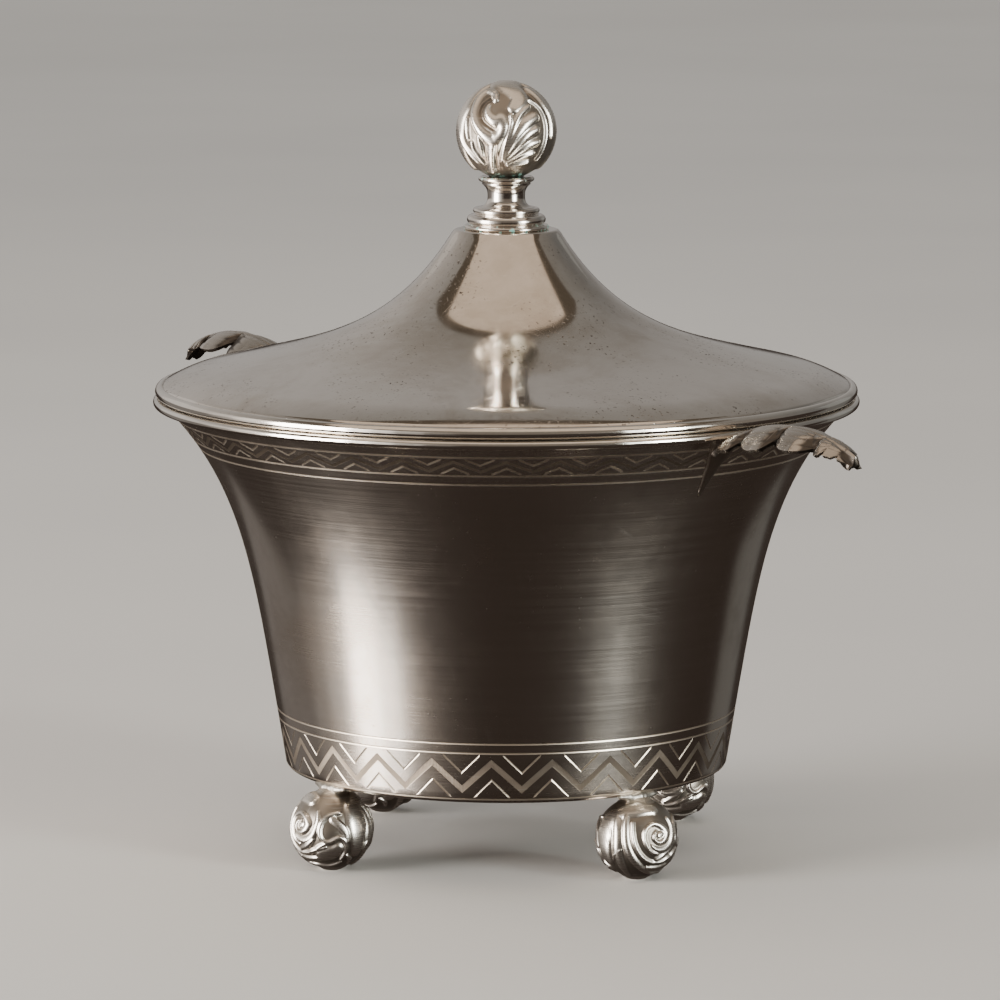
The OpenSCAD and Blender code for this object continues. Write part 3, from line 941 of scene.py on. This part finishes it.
def chased_feet(silver):
    """Four chased ball feet, each turned its own way, worn flat where they stand."""
    strokes = VOLUTE_STROKES + with_shift(WAVE_STROKES, WAVE_SHIFT)
    base, faces, relief = chased_sphere(FOOT_R, strokes, FOOT_CHASED)
    own_turn = {"east": 0, "south": -WAVE_SHIFT, "north": 132, "west": 64}
    for side, angle in SIDES.items():
        node = "foot_ball_" + side
        centre = rotated([[FEET_CIRCLE, 0, 8.04]], angle + FEET_TURN)[0]
        points = rotated(base, math.degrees(CAMERA_TURN) + own_turn[side]) + centre
        points[:, 2] = np.maximum(points[:, 2], 0)
        obj = new_object("chased_foot_" + side, points, faces, "bowl", [node])
        set_relief(obj, relief)
        dress(obj, silver)


SOLDER_R = 42.85
SOLDER_Z = 15.85
SOLDER_REACH = 4.1


def solder_smears(solder):
    """The lumpy solder that runs between each ball and the bowl's bottom corner."""
    generator = np.random.default_rng(7)
    for side, angle in SIDES.items():
        centre_angle = math.radians(angle + FEET_TURN)
        work = bmesh.new()
        for i in range(11):
            t = i / 5 - 1
            around = centre_angle + t * SOLDER_REACH / FOOT_RADIUS
            swell = 1 - 0.55 * abs(t) ** 1.5
            size = Vector((
                (0.95 + 0.25 * generator.random()) * swell,
                1.0,
                (0.8 + 0.3 * generator.random()) * swell,
            ))
            r = SOLDER_R - 0.25 * abs(t)
            z = SOLDER_Z + 0.22 * generator.random() + 0.25 * abs(t)
            place = Matrix.Translation((r * math.cos(around), r * math.sin(around), z))
            place = place @ Matrix.Rotation(around, 4, "Z") @ Matrix.Diagonal((*size, 1))
            bmesh.ops.create_icosphere(work, subdivisions=3, radius=1, matrix=place)
        points = [tuple(v.co) for v in work.verts]
        faces = [[v.index for v in f.verts] for f in work.faces]
        work.free()
        obj = new_object("solder_" + side, points, faces, "bowl", ["solder_pad_" + side])
        remesh = obj.modifiers.new("remesh", "REMESH")
        remesh.mode = "VOXEL"
        remesh.voxel_size = 0.2 * MM
        smooth = obj.modifiers.new("smooth", "SMOOTH")
        smooth.factor = 0.6
        smooth.iterations = 4
        apply_modifiers(obj)
        obj.data.shade_smooth()
        dress(obj, solder)


# Leaf handles

LEAF_ROOT_X = 68.4
LEAF_ROOT_Z = RIM_Z - 1
LEAF_HALF_W = 6.8
LEAF_SHEET = 0.95
LEAF_EDGE = 0.22
TIP_BELOW_RIM = {"east": 1.3, "west": 0.4}
LOBE_ENDS = (0, 0.18, 0.47, 0.77, 1)


def leaf_lobe(u):
    """Which lobe a place along the leaf is in, and how far through it."""
    for i in range(4):
        if u <= LOBE_ENDS[i + 1] or i == 3:
            return i, min(1, (u - LOBE_ENDS[i]) / (LOBE_ENDS[i + 1] - LOBE_ENDS[i]))


def leaf_envelope(u):
    """The leaf's half-width without its notches."""
    return LEAF_HALF_W * np.interp(u, [0, 0.1, 0.4, 0.65, 0.78, 0.9, 1], [0.92, 1, 1, 0.94, 0.7, 0.5, 0.16])


def leaf_half_width(u):
    """The leaf's half-width: rounded lobes with deep notches between them, and a toothed end."""
    lobe, f = leaf_lobe(u)
    if lobe < 3:
        bulge = max(0, 1 - abs(2 * f**1.2 - 1) ** 3.4)
        if lobe == 0 and f < 0.45:
            bulge = 1
        return leaf_envelope(u) * (0.3 + 0.7 * bulge**0.65)
    tooth = (f * 2.9) % 1
    rise = min(1, f / 0.12)
    return leaf_envelope(u) * (0.72 + 0.28 * rise - 0.24 * max(0, tooth - 0.7) / 0.3)


def leaf_point(u, v, tip_x, crest_z, tip_z):
    """A point of the leaf's top, and its place in the relief. u runs from root to tip, v across."""
    y = v * leaf_half_width(u)
    side = y / leaf_envelope(u)
    rise = crest_z - (LEAF_ROOT_Z + tip_z) / 2
    crown = LEAF_ROOT_Z + (tip_z - LEAF_ROOT_Z) * u + rise * (1 - abs(2 * u - 1) ** 2.2)
    drop = np.interp(u, [0, 0.1, 0.33, 0.62, 0.8, 0.95, 1], [1.6, 3, 4.1, 3.2, 2.1, 1.3, 0.6])
    sweep = u + 0.09 * (1 - min(1, abs(v))) * (0.3 + u)
    lobe, f = leaf_lobe(min(1, sweep))
    pillow = 1 - abs(2 * f - 1) ** 3
    out = min(1, abs(v) * 1.5) ** 1.5
    dome = 1.15 * (pillow - 1) * out
    vein = abs(math.sin(math.pi * (abs(v) * 4.2 + 0.9 * f)))
    veins = -0.08 * (1 - vein) ** 1.5 * min(1, abs(v) * 5) * min(1, 8 * (1 - u))
    rib = -0.22 * math.exp(-((abs(y) - 0.7) / 0.3) ** 2)
    curl = -0.2 * abs(v) ** 6
    # The notch term darkens the leaf's edge round each notch: painted shade for the dark gap between lobes.
    # The dome, vein and rib terms are tarnish in the hollows.
    notch = 1 - leaf_half_width(u) / leaf_envelope(u)
    relief = 1 + (dome + veins * 3 + rib) / 0.8 - 2.4 * notch * v * v
    height = crown - drop * side**2 + dome + veins + rib + curl
    return (LEAF_ROOT_X + (tip_x - LEAF_ROOT_X) * u, y, height), relief


def acanthus(side, silver):
    """One cast leaf, lying out from the rim."""
    node = "leaf_handle_" + side
    low, high = span(node)
    tip_x, tip_z = max(-low[0], high[0]), RIM_Z - TIP_BELOW_RIM[side]
    rows, cols = ((230, 84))
    points, relief = [], []
    for i in range(rows + 1):
        for j in range(cols + 1):
            point, place = leaf_point(i / rows, 2 * j / cols - 1, tip_x, high[2], tip_z)
            points.append(point)
            relief.append(place)
    faces = []
    for i in range(rows):
        for j in range(cols):
            a = i * (cols + 1) + j
            faces.append([a, a + cols + 1, a + cols + 2, a + 1])
    points = rotated(points, SIDES[side])
    obj = new_object("acanthus_" + side, points, faces, "bowl", [node])
    set_relief(obj, relief)
    thick = obj.modifiers.new("thick", "SOLIDIFY")
    thick.thickness = LEAF_SHEET * MM
    thick.offset = -1
    thick.use_even_offset = False
    edge = obj.modifiers.new("edge", "BEVEL")
    edge.width = LEAF_EDGE * MM
    edge.segments = 2
    edge.limit_method = "ANGLE"
    edge.angle_limit = math.radians(55)
    apply_modifiers(obj)
    obj.data.shade_smooth()
    dress(obj, silver)


def claw(side, silver):
    """The tapered tongue that holds a leaf to the wall."""
    low_z, high_z = span("leaf_bracket_" + side)[0][2], span("leaf_bracket_" + side)[1][2]
    steps, around = 40, 20
    points = []
    for i in range(steps + 1):
        t = i / steps
        z = low_z + (high_z - low_z) * t
        half = np.interp(t, [0, 0.04, 0.12, 0.5, 0.8, 1], [0.3, 0.6, 0.62, 1.7, 3.2, 4.6])
        proud = np.interp(t, [0, 0.04, 0.12, 0.5, 0.8, 1], [0.05, 0.32, 0.45, 1.05, 1.5, 1.7])
        wall, (nr, nz) = wall_point(z)
        for k in range(around):
            a = 2 * math.pi * k / around
            y = half * math.sin(a)
            out = proud * abs(math.cos(a)) ** 0.8 if math.cos(a) > 0 else -0.5
            ridge = 0.12 * math.cos(a) ** 12 if math.cos(a) > 0 else 0
            points.append((wall - y * y / (2 * wall) + nr * (out + ridge), y, z + nz * out * 0.2))
    faces = tube_faces(steps + 1, around)
    faces.append(list(range(around))[::-1])
    faces.append([steps * around + k for k in range(around)])
    points = rotated(points, SIDES[side])
    node = "leaf_bracket_" + side
    obj = new_object("claw_" + side, points, faces, "bowl", [node])
    weld(obj)
    obj.data.set_sharp_from_angle(angle=math.radians(60))
    dress(obj, silver)


# Materials


class Shader:
    """The node tree of a material or a world, with short calls for the nodes used here."""

    def __init__(self, owner, surface="Principled BSDF", coords="Object"):
        owner.use_nodes = True
        self.owner = owner
        self.tree = owner.node_tree
        self.surface = self.tree.nodes[surface]
        self.coords = self.tree.nodes.new("ShaderNodeTexCoord").outputs[coords]

    def put(self, socket, value):
        if isinstance(value, bpy.types.NodeSocket):
            self.tree.links.new(value, socket)
        else:
            socket.default_value = value

    def give(self, name, value):
        """Sets an input of the surface itself."""
        self.put(self.surface.inputs[name], value)

    def node(self, kind, **values):
        """A new node with these inputs. An underscore stands for a space in an input's name."""
        made = self.tree.nodes.new("ShaderNode" + kind)
        for name, value in values.items():
            self.put(made.inputs[name.replace("_", " ")], value)
        return made

    def mapped(self, scale, turn=(0, 0, 0)):
        turn = [math.radians(a) for a in turn]
        return self.node("Mapping", Vector=self.coords, Scale=scale, Rotation=turn).outputs["Vector"]

    def noise(self, scale, detail=3, roughness=0.55, vector=None, distortion=0.0):
        node = self.node("TexNoise", Vector=vector or self.coords, Scale=scale, Detail=detail,
                         Roughness=roughness, Distortion=distortion)
        return node.outputs["Fac"]

    def ramp(self, value, low, high, to_low=0.0, to_high=1.0):
        node = self.node("MapRange", Value=value, From_Min=low, From_Max=high, To_Min=to_low, To_Max=to_high)
        node.interpolation_type = "SMOOTHSTEP"
        return node.outputs["Result"]

    def math(self, kind, *values):
        node = self.node("Math")
        node.operation = kind
        for socket, value in zip(node.inputs, values):
            self.put(socket, value)
        return node.outputs[0]

    def times(self, a, b):
        return self.math("MULTIPLY", a, b)

    def plus(self, a, b):
        return self.math("ADD", a, b)

    def larger(self, a, b):
        return self.math("MAXIMUM", a, b)

    def toward(self, direction, low, high):
        """How far the place lies in a direction, eased from 0 at low to 1 at high."""
        node = self.node("VectorMath")
        node.operation = "DOT_PRODUCT"
        self.put(node.inputs[0], self.coords)
        self.put(node.inputs[1], tuple(direction))
        return self.ramp(node.outputs["Value"], low, high)

    def mix(self, factor, a, b):
        node = self.node("Mix")
        node.data_type = "RGBA"
        sockets = [s for s in node.inputs if s.type == "RGBA"]
        self.put(node.inputs["Factor"], factor)
        self.put(sockets[0], a)
        self.put(sockets[1], b)
        return [s for s in node.outputs if s.type == "RGBA"][0]

    def attribute(self, name):
        node = self.node("Attribute")
        node.attribute_name = name
        return node.outputs["Fac"]

    def height_of(self):
        node = self.node("SeparateXYZ")
        self.put(node.inputs[0], self.coords)
        return node.outputs["Z"]

    def bump(self, height, strength, distance, below=None):
        node = self.node("Bump", Strength=strength, Distance=distance * MM, Height=height)
        if below is not None:
            self.put(node.inputs["Normal"], below)
        return node.outputs["Normal"]

    def lathe_grain(self, amount):
        """Highlights spread across the lathe's fine circles."""
        node = self.node("Tangent")
        node.direction_type = "RADIAL"
        node.axis = "Z"
        self.give("Tangent", node.outputs["Tangent"])
        self.give("Anisotropic", amount)
        self.give("Anisotropic Rotation", 0.25)


def new_shader(name):
    """The node tree of a new material."""
    return Shader(bpy.data.materials.new(name))


def colour(r, g, b):
    return (r, g, b, 1)


def silver_material(name, clean, tarnish, stained, rough, grain=0.0, lines=0.3, pits=0.0, marks=0.4,
                    relief=False, green_at=(), haze=0.14):
    """Silver with tarnish clouds, fine polishing lines, odd scratches, specks and worn high spots; on the
    leaf the relief also paints shade round the notches.
    Green_at lists heights in millimetres with green crusts, each with its reach."""
    s = new_shader(name)
    cloud = s.noise(34, 6, 0.62, distortion=0.6)
    fine_cloud = s.noise(210, 4, 0.6)
    stain = s.ramp(s.plus(cloud, s.times(fine_cloud, 0.35)), 0.52, 0.88)
    stain = s.times(stain, stained)
    if relief:
        # Tarnish in the hollows of the relief; on the leaf the relief also holds painted shade round the
        # notches.
        hollow = s.ramp(s.attribute("relief"), 0.28, 0.8, 1, 0)
        stain = s.larger(stain, s.times(hollow, 0.9))
    turning = s.noise(1, 3, 0.6, s.mapped((26, 26, 5200)))
    wide_turning = s.noise(1, 2, 0.5, s.mapped((14, 14, 900)))
    long_scratch = s.ramp(s.noise(1, 2, 0.5, s.mapped((130, 130, 2300), (24, 31, 12))), 0.66, 0.72)
    cross_scratch = s.ramp(s.noise(1, 2, 0.5, s.mapped((1900, 110, 150), (17, 8, 41))), 0.67, 0.73)
    scratches = s.times(s.larger(long_scratch, cross_scratch), marks)
    speck_mask = s.ramp(s.noise(60, 3, 0.6), 0.42, 0.68)
    speck_from = 0.7 - 0.06 * pits
    specks = s.times(s.ramp(s.noise(1500, 2, 0.5), speck_from, speck_from + 0.08), speck_mask)
    specks = s.times(specks, pits)
    base = s.mix(stain, colour(*clean), colour(*tarnish))
    base = s.mix(s.times(scratches, 0.5), base, colour(0.86, 0.83, 0.78))
    base = s.mix(specks, base, colour(0.09, 0.065, 0.05))
    roughness = s.plus(s.ramp(turning, 0.3, 0.7, rough * 0.93, rough * 1.12), s.times(stain, haze))
    roughness = s.plus(roughness, s.times(specks, 0.3))
    roughness = s.plus(roughness, s.times(scratches, 0.1))
    metal = 1.0
    if green_at:
        up = s.height_of()
        crust = 0.0
        for z, reach in green_at:
            away = s.math("ABSOLUTE", s.math("SUBTRACT", up, z * MM))
            crust = s.larger(crust, s.ramp(away, 0, reach * MM, 1, 0))
        crust = s.times(crust, s.ramp(s.noise(900, 3, 0.6), 0.56, 0.63))
        base = s.mix(crust, base, colour(0.16, 0.42, 0.36))
        roughness = s.plus(roughness, s.times(crust, 0.45))
        metal = s.math("SUBTRACT", metal, crust)
    normal = s.bump(turning, lines, 0.006)
    normal = s.bump(wide_turning, lines * 0.4, 0.02, normal)
    normal = s.bump(s.times(scratches, -1), 0.3, 0.012, normal)
    normal = s.bump(s.times(specks, -1), 0.5, 0.03, normal)
    s.give("Base Color", base)
    s.give("Roughness", roughness)
    s.give("Metallic", metal)
    s.give("Normal", normal)
    if grain:
        s.lathe_grain(grain)
    return s.owner


def solder_material():
    """Dull grey solder with a pocked skin."""
    s = new_shader("dull_solder")
    patch = s.ramp(s.noise(420, 4, 0.6), 0.35, 0.65)
    grains = s.noise(2600, 3, 0.6)
    s.give("Base Color", s.mix(patch, colour(0.30, 0.275, 0.24), colour(0.56, 0.53, 0.48)))
    s.give("Roughness", s.ramp(grains, 0.3, 0.7, 0.34, 0.56))
    s.give("Normal", s.bump(grains, 0.45, 0.08))
    s.give("Metallic", 1)
    return s.owner


def brass_material():
    """Old brass, darker and browner in patches."""
    s = new_shader("old_brass")
    patch = s.ramp(s.noise(380, 5, 0.6), 0.36, 0.66)
    turning = s.noise(1, 3, 0.6, s.mapped((60, 60, 7000)))
    s.give("Base Color", s.mix(patch, colour(0.62, 0.43, 0.17), colour(0.30, 0.19, 0.09)))
    s.give("Roughness", s.ramp(turning, 0.3, 0.7, 0.24, 0.42))
    s.give("Normal", s.bump(turning, 0.3, 0.01))
    s.give("Metallic", 1)
    return s.owner


# Studio


PANEL_AWAY = 1200
PANEL_AIM_Z = 70

# Upright panels round the object: from this turn, to this turn, lower edge, and watts per square metre.
# Turns are in degrees to the camera's right, and edges in degrees above the level.
LEFT_PANELS = (
    (-150, -110, -24, 0.5),
    (-110, -97, -24, 1.1),
    (-97, -80, -24, 3),
    (-80, -66, -26, 52),
    (-66, -52, -22, 60),
    (-52, -44, -21, 9),
    (-44, -36, -21, 3.4),
    (-36, -26, -21, 1.1),
    (-26, -16, -21, 0.3),
)
RIGHT_PANELS = ((38, 46, -12, 14), (46, 59, -11, 70), (59, 68, -12, 6), (125, 150, -24, 0.35))


def soft_panel(name, turns, rises, strength, tint=(1, 0.95, 0.9)):
    """An upright soft panel that spans these turns and rises, in degrees, as the object sees it.
    The camera doesn't see it."""
    low, high = (math.tan(math.radians(e)) * PANEL_AWAY for e in rises)
    width = 2 * PANEL_AWAY * math.tan(math.radians(turns[1] - turns[0]) / 2)
    lamp = bpy.data.lights.new(name, "AREA")
    lamp.shape = "RECTANGLE"
    lamp.size = width * MM
    lamp.size_y = (high - low) * MM
    lamp.energy = strength * width * (high - low) * MM * MM
    lamp.color = tint
    obj = bpy.data.objects.new(name, lamp)
    a = math.radians((turns[0] + turns[1]) / 2)
    outward = BACK * math.cos(a) + RIGHT * math.sin(a)
    middle = np.array([0, 0, PANEL_AIM_Z + (low + high) / 2])
    obj.location = Vector((outward * PANEL_AWAY + middle) * MM)
    obj.rotation_euler = Vector(outward).to_track_quat("Z", "Y").to_euler()
    obj.visible_camera = False
    bpy.context.collection.objects.link(obj)


def staged(name, points, faces, material):
    """A mesh of the studio, which casts no shadow."""
    mesh = bpy.data.meshes.new(name)
    mesh.from_pydata([tuple(p) for p in np.array(points) * MM], [], faces)
    obj = bpy.data.objects.new(name, mesh)
    bpy.context.collection.objects.link(obj)
    dress(obj, material)
    obj.visible_shadow = False
    return obj


def pale_floor():
    """A plain pale floor. Polished silver doesn't mirror it, so that its tones stay deep."""
    points, faces = lathe([(r, 0) for r in (0, 200, 600, 1500, 4000, 9000)], 64)
    s = new_shader("pale_floor")
    tone = s.ramp(s.noise(3, 3, 0.5), 0.3, 0.7)
    s.give("Base Color", s.mix(tone, colour(0.60, 0.59, 0.575), colour(0.64, 0.63, 0.61)))
    s.give("Roughness", 0.9)
    s.give("Specular IOR Level", 0.1)
    staged("pale_floor", points, faces, s.owner).visible_glossy = False


def overhead_sheet(name, z, behind, ahead, tint, strength):
    """A glowing sheet above the object, wider towards the camera. Each end is its (distance, half-width)."""
    points = []
    for (away, half), side in ((behind, -1), (behind, 1), (ahead, 1), (ahead, -1)):
        points.append(np.array([0, 0, z]) + RIGHT * half * side + BACK * away)
    s = new_shader(name)
    s.give("Base Color", colour(0, 0, 0))
    s.give("Specular IOR Level", 0)
    s.give("Emission Color", tint)
    s.give("Emission Strength", strength)
    obj = staged(name, points, [[0, 1, 2, 3]], s.owner)
    obj.visible_camera = False
    return obj


def studio_world():
    """Even grey above, lighter behind the object than on the camera's side, and dark below."""
    world = bpy.data.worlds.new("studio")
    bpy.context.scene.world = world
    s = Shader(world, "Background", "Generated")
    far = s.mix(s.toward(-RIGHT, -0.75, 0.5), colour(0.155, 0.152, 0.147), colour(0.54, 0.51, 0.485))
    walls = s.mix(s.toward(-BACK, -0.35, 0.6), colour(0.19, 0.162, 0.135), far)
    room = s.mix(s.toward((0, 0, 1), 0.35, 0.95), walls, colour(0.27, 0.255, 0.235))
    whole = s.mix(s.toward((0, 0, 1), -0.04, 0.03), colour(0.04, 0.030, 0.025), room)
    s.give("Color", whole)
    s.give("Strength", 1)


def top_sun():
    """A wide soft lamp from above for the floor. Polished silver doesn't mirror it."""
    lamp = bpy.data.lights.new("top_sun", "SUN")
    lamp.energy = 1.3
    lamp.angle = math.radians(70)
    lamp.color = (1, 0.98, 0.95)
    obj = bpy.data.objects.new("top_sun", lamp)
    obj.rotation_euler = (math.radians(-12), math.radians(-14), 0)
    obj.visible_glossy = False
    bpy.context.collection.objects.link(obj)


def studio():
    """Floor, world, soft lights and the sheets that the lid reflects."""
    studio_world()
    pale_floor()
    top_sun()
    for turn, until, low, strength in LEFT_PANELS:
        soft_panel("left_%d" % -turn, (turn, until), (low, 26), strength)
    for turn, until, low, strength in RIGHT_PANELS:
        soft_panel("right_%d" % turn, (turn, until), (low, 22), strength, tint=(0.93, 0.97, 0.93))
    overhead_sheet("overhead", 1070, (-400, 410), (780, 1200), colour(1, 0.82, 0.66), 0.8)
    frame_sheet = overhead_sheet("overhead_frame", 1100, (-540, 680), (1000, 1560), colour(1, 0.8, 0.6), 0.1)
    frame_sheet.visible_diffuse = False


def camera():
    """The camera, a little above the object's middle."""
    data = bpy.data.cameras.new("camera")
    data.sensor_width = 36
    data.lens = CAMERA_LENS
    data.clip_start = 0.05
    data.clip_end = 50
    obj = bpy.data.objects.new("camera", data)
    bpy.context.collection.objects.link(obj)
    target = np.array([0, 0, CAMERA_TARGET_Z]) - RIGHT * CAMERA_ASIDE
    toward = BACK * math.cos(CAMERA_RISE) + np.array([0, 0, math.sin(CAMERA_RISE)])
    obj.location = Vector((target + toward * CAMERA_DISTANCE) * MM)
    obj.rotation_euler = Vector(toward).to_track_quat("Z", "Y").to_euler()
    bpy.context.scene.camera = obj


def build():
    """Every piece with its material."""
    joint_z = span("finial_ball")[0][2]
    body = silver_material("body_silver", (0.67, 0.61, 0.545), (0.48, 0.405, 0.34), 0.8, 0.2,
                           grain=0.6, lines=0.06, pits=0.3, marks=0.14, haze=0.08)
    cut = silver_material("cut_silver", (0.80, 0.70, 0.58), (0.60, 0.50, 0.39), 0.6, 0.27,
                          lines=0.05, marks=0.1)
    hatched = silver_material("hatched_silver", (0.40, 0.335, 0.27), (0.27, 0.215, 0.165), 0.7, 0.33,
                              lines=0.05, marks=0.2)
    inner = silver_material("inner_silver", (0.62, 0.575, 0.52), (0.42, 0.355, 0.295), 0.8, 0.3,
                            grain=0.6, lines=0.2, pits=0.3, haze=0.1)
    polished = silver_material("lid_silver", (0.80, 0.745, 0.68), (0.585, 0.515, 0.435), 0.8, 0.055,
                               lines=0.04, pits=1.25, marks=0.45, haze=0.12)
    moulding = silver_material("moulding_silver", (0.88, 0.83, 0.76), (0.60, 0.53, 0.45), 0.4, 0.1,
                               lines=0.1, pits=0.5, marks=0.3)
    spun = silver_material("turned_silver", (0.84, 0.79, 0.73), (0.40, 0.33, 0.28), 0.5, 0.11,
                           lines=0.1, pits=0.3, green_at=((LID_TOP_Z + 0.4, 1.1), (joint_z - 0.1, 0.9)))
    chased = silver_material("chased_silver", (0.88, 0.82, 0.74), (0.2, 0.165, 0.13), 0.12, 0.27,
                             lines=0.04, pits=0.3, relief=True, green_at=((joint_z + 0.4, 1.2),), haze=0.1)
    # The leaf's near-black tarnish colour also serves as painted shade round its notches.
    leaf = silver_material("leaf_silver", (0.56, 0.51, 0.45), (0.05, 0.04, 0.032), 0.25, 0.24,
                           lines=0.05, pits=0.9, marks=0.6, relief=True)
    bracket = silver_material("bracket_silver", (0.50, 0.44, 0.38), (0.22, 0.175, 0.14), 0.8, 0.25,
                              lines=0.1, pits=0.5)
    solder = solder_material()
    brass = brass_material()
    engraved_bowl(body, cut, inner, hatched)
    rim_moulding(moulding)
    polished_lid(polished, inner)
    lid_moulding(moulding)
    centring_ring(inner)
    finial_plate(spun)
    finial_neck(spun)
    chased_finial(chased)
    threaded_stud(brass)
    bevelled_washer(inner)
    chamfered_nut(brass)
    chased_feet(chased)
    solder_smears(solder)
    for side in ("east", "west"):
        acanthus(side, leaf)
        claw(side, bracket)


build()
camera()
studio()
